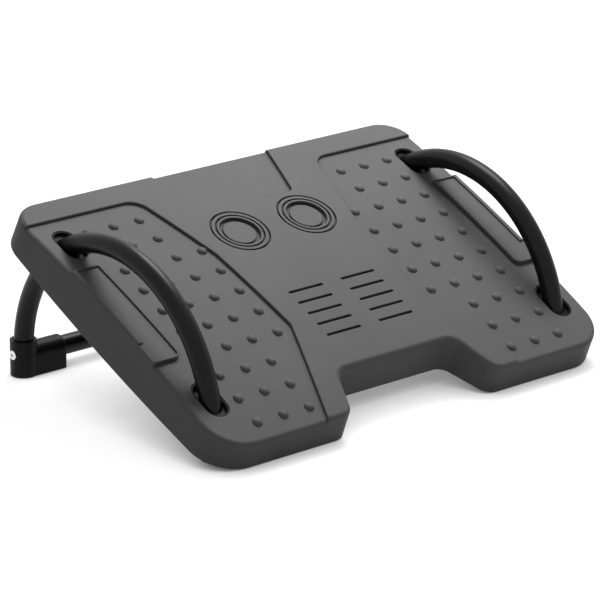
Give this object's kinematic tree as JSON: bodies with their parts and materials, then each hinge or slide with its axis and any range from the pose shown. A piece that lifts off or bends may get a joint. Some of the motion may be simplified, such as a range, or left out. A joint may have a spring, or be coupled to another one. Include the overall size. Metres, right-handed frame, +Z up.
{
  "type": "footrest",
  "caption": "Free-standing under-desk footrest: a hollow textured footplate with massage bumps tilts along arched steel tubes that stand on rear elbows and rubber feet.",
  "frame": {"origin": "on the floor, at the middle of the overall length and width", "axes": "+X to the right of the person who uses it, +Y from the low front edge with the notch to the raised rear edge, +Z up"},
  "size_m": [0.4578, 0.3294, 0.1645],
  "materials": {
    "plate_plastic": "fine moulded grain, charcoal",
    "tube_paint": "satin black powder coat",
    "elbow_plastic": "matte black",
    "bush_plastic": "smooth black",
    "bolt_steel": "bright zinc plate",
    "screw_steel": "zinc plate",
    "foot_rubber": "matte black rubber"
  },
  "bodies": {
    "frame": {"front_left_tip": "foot_rubber", "front_right_tip": "foot_rubber", "left_arch_tube": "tube_paint", "left_elbow_bolt": "bolt_steel", "left_tube_plug": "bush_plastic", "rear_cross_tube": "tube_paint", "rear_left_elbow": "elbow_plastic", "rear_left_foot_pad": "foot_rubber", "rear_right_elbow": "elbow_plastic", "rear_right_foot_pad": "foot_rubber", "right_arch_tube": "tube_paint", "right_elbow_bolt": "bolt_steel", "right_tube_plug": "bush_plastic"},
    "platform": {"footplate": "plate_plastic", "rear_left_guide_bush": "bush_plastic", "rear_right_guide_bush": "bush_plastic", "front_left_guide_bush": "bush_plastic", "front_right_guide_bush": "bush_plastic", "rear_left_bush_screws": "screw_steel", "rear_right_bush_screws": "screw_steel", "front_left_bush_screws": "screw_steel", "front_right_bush_screws": "screw_steel"}
  },
  "joints": [
    {"name": "platform_tilt", "type": "hinge", "parent": "frame", "child": "platform", "pos_m": [0, 0.01693, 0.01935], "axis": [-1, 0, 0], "range_deg": [0, 47]}
  ]
}
